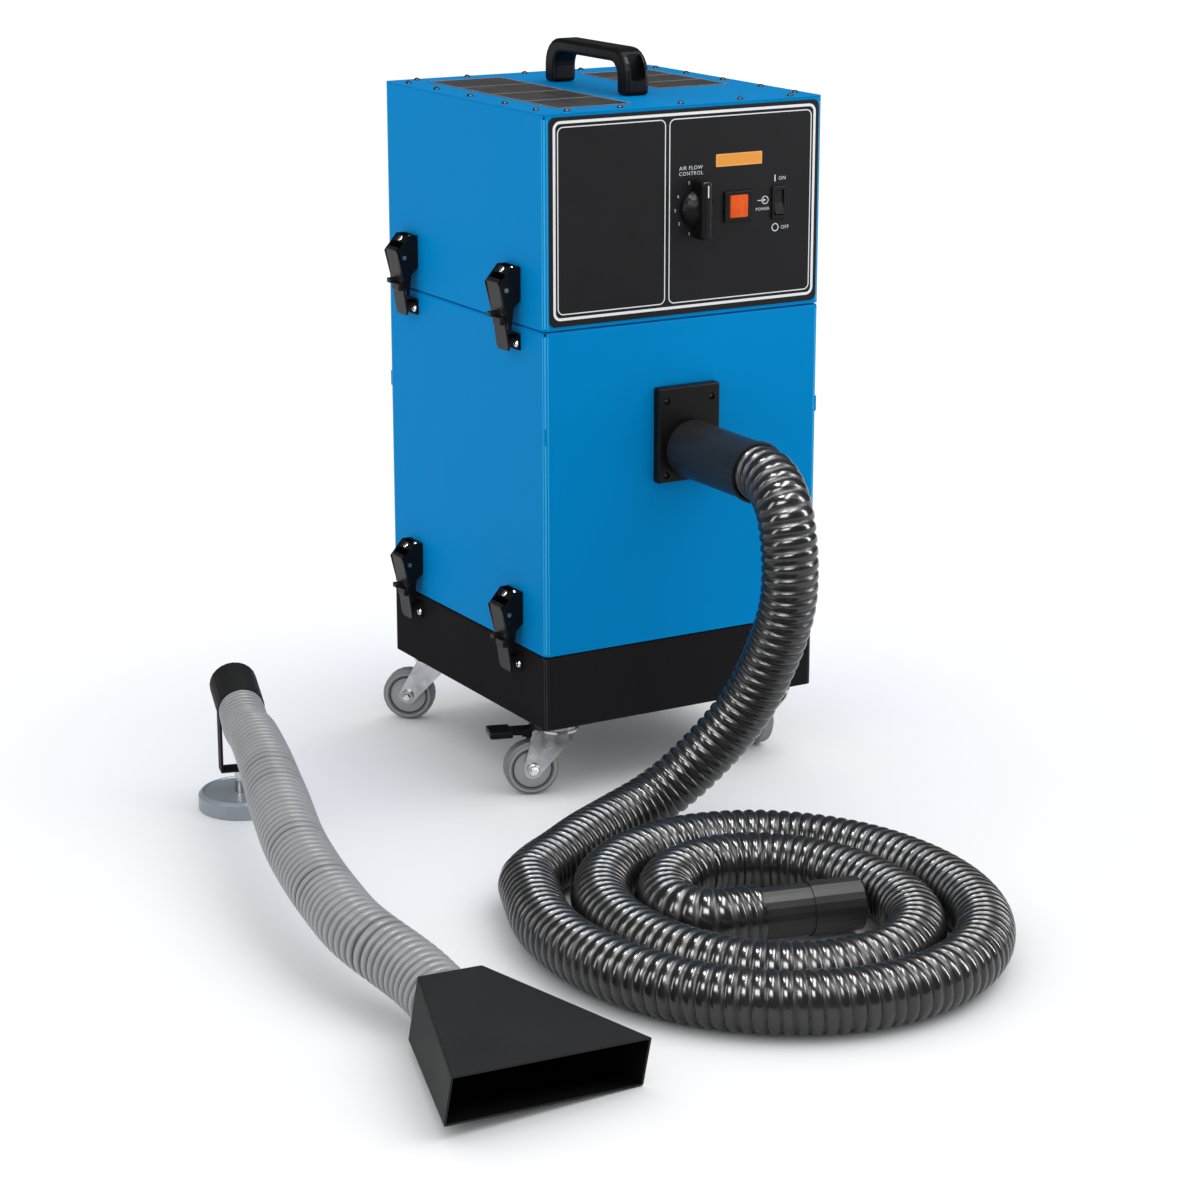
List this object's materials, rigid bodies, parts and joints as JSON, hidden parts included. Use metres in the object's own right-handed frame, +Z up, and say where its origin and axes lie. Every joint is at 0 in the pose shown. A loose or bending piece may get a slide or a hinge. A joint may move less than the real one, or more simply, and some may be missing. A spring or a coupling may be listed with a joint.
{
  "type": "mobile welding fume extractor",
  "caption": "Mobile welding fume extractor: latched filter stack on casters with a control panel, a coiled suction hose and a magnetic fishtail hood.",
  "frame": {"origin": "on the floor, under the middle of the box round the rigid pieces (the cabinet and the hood stand, without the hoses)", "axes": "+Z up, -Y toward the front with the control panel and the inlet, +X to the right of someone facing the panel"},
  "size_m": [0.9984, 1.2767, 0.9364],
  "materials": {
    "zinc": "zinc plated pressed steel",
    "wheel_grey": "grey elastic tyre on a plastic rim",
    "latch_black": "moulded black plastic, satin",
    "lever_grey": "moulded dark grey plastic, satin",
    "blue_paint": "smooth blue powder coat, semi-gloss",
    "black_paint": "smooth black powder coat, semi-gloss",
    "panel_black": "dark printed panel, satin, white line frame",
    "hose_black": "black corrugated hose, glossy",
    "hose_grey": "light grey self-supporting ribbed hose",
    "hood_black": "black coated sheet, matte",
    "magnet_grey": "blue-grey coated magnet cup",
    "foam": "closed-cell foam seal",
    "filter_media": "pleated filter media",
    "motor_grey": "cast and turned, grey",
    "lens_orange": "translucent orange lamp lens",
    "moulded_black": "moulded black plastic, satin"
  },
  "bodies": {
    "base": {"base_tray": "black_paint", "tray_gasket": "foam", "caster_plate_fl": "zinc", "caster_plate_fr": "zinc", "caster_plate_rl": "zinc", "caster_plate_rr": "zinc", "hose_coil": "hose_black", "hose_end_cuff": "moulded_black"},
    "cabinet": {"filter_cabinet": "blue_paint", "cabinet_gasket": "foam", "inlet_flange": "moulded_black", "hose_inlet_cuff": "moulded_black", "filter_cartridge": "filter_media", "hose_run": "hose_black", "latch_housing_lower_front_left": "latch_black", "latch_housing_lower_front_right": "latch_black", "latch_housing_lower_rear_left": "latch_black", "latch_housing_lower_rear_right": "latch_black"},
    "head": {"blower_head": "blue_paint", "top_cover": "blue_paint", "control_panel": "panel_black", "carry_handle": "moulded_black", "speed_control": "moulded_black", "lamp_bezel": "moulded_black", "lamp_lens": "lens_orange", "switch_housing": "moulded_black", "blower_motor": "motor_grey", "blower_plate": "zinc", "latch_housing_upper_front_left": "latch_black", "latch_housing_upper_front_right": "latch_black", "latch_housing_upper_rear_left": "latch_black", "latch_housing_upper_rear_right": "latch_black"},
    "knob": {"airflow_knob": "moulded_black"},
    "rocker": {"switch_rocker": "latch_black"},
    "fan": {"impeller": "motor_grey"},
    "hood_set": {"magnet_base": "magnet_grey", "bracket_stud": "zinc", "hood_bracket": "black_paint", "hood_hose_cuff": "moulded_black", "hood_hose": "hose_grey", "hood": "hood_black"},
    "latch_lower_front_left": {"latch_lever_lower_front_left": "lever_grey"},
    "latch_lower_front_right": {"latch_lever_lower_front_right": "lever_grey"},
    "latch_lower_rear_left": {"latch_lever_lower_rear_left": "lever_grey"},
    "latch_lower_rear_right": {"latch_lever_lower_rear_right": "lever_grey"},
    "latch_upper_front_left": {"latch_lever_upper_front_left": "lever_grey"},
    "latch_upper_front_right": {"latch_lever_upper_front_right": "lever_grey"},
    "latch_upper_rear_left": {"latch_lever_upper_rear_left": "lever_grey"},
    "latch_upper_rear_right": {"latch_lever_upper_rear_right": "lever_grey"},
    "swivel_fl": {"caster_fork_fl": "zinc"},
    "wheel_fl": {"caster_wheel_fl": "wheel_grey"},
    "swivel_fr": {"caster_fork_fr": "zinc"},
    "wheel_fr": {"caster_wheel_fr": "wheel_grey"},
    "swivel_rl": {"caster_fork_rl": "zinc"},
    "wheel_rl": {"caster_wheel_rl": "wheel_grey"},
    "swivel_rr": {"caster_fork_rr": "zinc"},
    "wheel_rr": {"caster_wheel_rr": "wheel_grey"},
    "pedal_fl": {"brake_pedal_fl": "moulded_black"},
    "pedal_fr": {"brake_pedal_fr": "moulded_black"}
  },
  "joints": [
    {"name": "cabinet_lift", "type": "slide", "parent": "base", "child": "cabinet", "axis": [0, 0, 1], "range_m": [0, 0.12]},
    {"name": "head_lift", "type": "slide", "parent": "cabinet", "child": "head", "axis": [0, 0, 1], "range_m": [0, 0.25]},
    {"name": "airflow_turn", "type": "hinge", "parent": "head", "child": "knob", "pos_m": [0.27713, 0.16941, 0.749], "axis": [0, -1, 0], "range_deg": [-135, 135]},
    {"name": "switch_press", "type": "hinge", "parent": "head", "child": "rocker", "pos_m": [0.39963, 0.17011, 0.7475], "axis": [1, 0, 0], "range_deg": [0, 16]},
    {"name": "fan_spin", "type": "hinge", "parent": "head", "child": "fan", "pos_m": [0.26363, 0.38571, 0.6208], "axis": [0, 0, 1], "continuous": true},
    {"name": "latch_lower_front_left_turn", "type": "hinge", "parent": "cabinet", "child": "latch_lower_front_left", "pos_m": [0.03983, 0.24991, 0.2405], "axis": [0, 1, 0], "range_deg": [0, 110]},
    {"name": "latch_lower_front_right_turn", "type": "hinge", "parent": "cabinet", "child": "latch_lower_front_right", "pos_m": [0.48743, 0.24991, 0.2405], "axis": [0, -1, 0], "range_deg": [0, 110]},
    {"name": "latch_lower_rear_left_turn", "type": "hinge", "parent": "cabinet", "child": "latch_lower_rear_left", "pos_m": [0.03983, 0.52891, 0.2405], "axis": [0, 1, 0], "range_deg": [0, 110]},
    {"name": "latch_lower_rear_right_turn", "type": "hinge", "parent": "cabinet", "child": "latch_lower_rear_right", "pos_m": [0.48743, 0.52891, 0.2405], "axis": [0, -1, 0], "range_deg": [0, 110]},
    {"name": "latch_upper_front_left_turn", "type": "hinge", "parent": "head", "child": "latch_upper_front_left", "pos_m": [0.03983, 0.24991, 0.6575], "axis": [0, 1, 0], "range_deg": [0, 110]},
    {"name": "latch_upper_front_right_turn", "type": "hinge", "parent": "head", "child": "latch_upper_front_right", "pos_m": [0.48743, 0.24991, 0.6575], "axis": [0, -1, 0], "range_deg": [0, 110]},
    {"name": "latch_upper_rear_left_turn", "type": "hinge", "parent": "head", "child": "latch_upper_rear_left", "pos_m": [0.03983, 0.52891, 0.6575], "axis": [0, 1, 0], "range_deg": [0, 110]},
    {"name": "latch_upper_rear_right_turn", "type": "hinge", "parent": "head", "child": "latch_upper_rear_right", "pos_m": [0.48743, 0.52891, 0.6575], "axis": [0, -1, 0], "range_deg": [0, 110]},
    {"name": "swivel_turn_fl", "type": "hinge", "parent": "base", "child": "swivel_fl", "pos_m": [0.10063, 0.21221, 0.0977], "axis": [0, 0, 1], "continuous": true},
    {"name": "wheel_roll_fl", "type": "hinge", "parent": "swivel_fl", "child": "wheel_fl", "pos_m": [0.06639, 0.22333, 0.0355], "axis": [0.309, 0.9511, 0], "continuous": true},
    {"name": "swivel_turn_fr", "type": "hinge", "parent": "base", "child": "swivel_fr", "pos_m": [0.42663, 0.21221, 0.0977], "axis": [0, 0, 1], "continuous": true},
    {"name": "wheel_roll_fr", "type": "hinge", "parent": "swivel_fr", "child": "wheel_fr", "pos_m": [0.42287, 0.24801, 0.0355], "axis": [0.9945, 0.1045, 0], "continuous": true},
    {"name": "swivel_turn_rl", "type": "hinge", "parent": "base", "child": "swivel_rl", "pos_m": [0.10063, 0.55921, 0.0977], "axis": [0, 0, 1], "continuous": true},
    {"name": "wheel_roll_rl", "type": "hinge", "parent": "swivel_rl", "child": "wheel_rl", "pos_m": [0.07226, 0.58137, 0.0355], "axis": [0.6157, 0.788, 0], "continuous": true},
    {"name": "swivel_turn_rr", "type": "hinge", "parent": "base", "child": "swivel_rr", "pos_m": [0.42663, 0.55921, 0.0977], "axis": [0, 0, 1], "continuous": true},
    {"name": "wheel_roll_rr", "type": "hinge", "parent": "swivel_rr", "child": "wheel_rr", "pos_m": [0.41432, 0.59304, 0.0355], "axis": [0.9397, 0.342, 0], "continuous": true},
    {"name": "brake_press_fl", "type": "hinge", "parent": "swivel_fl", "child": "pedal_fl", "pos_m": [0.06972, 0.22225, 0.0842], "axis": [-0.309, -0.9511, 0], "range_deg": [0, 12]},
    {"name": "brake_press_fr", "type": "hinge", "parent": "swivel_fr", "child": "pedal_fr", "pos_m": [0.42323, 0.24453, 0.0842], "axis": [-0.9945, -0.1045, 0], "range_deg": [0, 12]},
    {"name": "hood_set_lift", "type": "slide", "parent": "base", "child": "hood_set", "axis": [0, 0, 1], "range_m": [0, 0.1]}
  ]
}
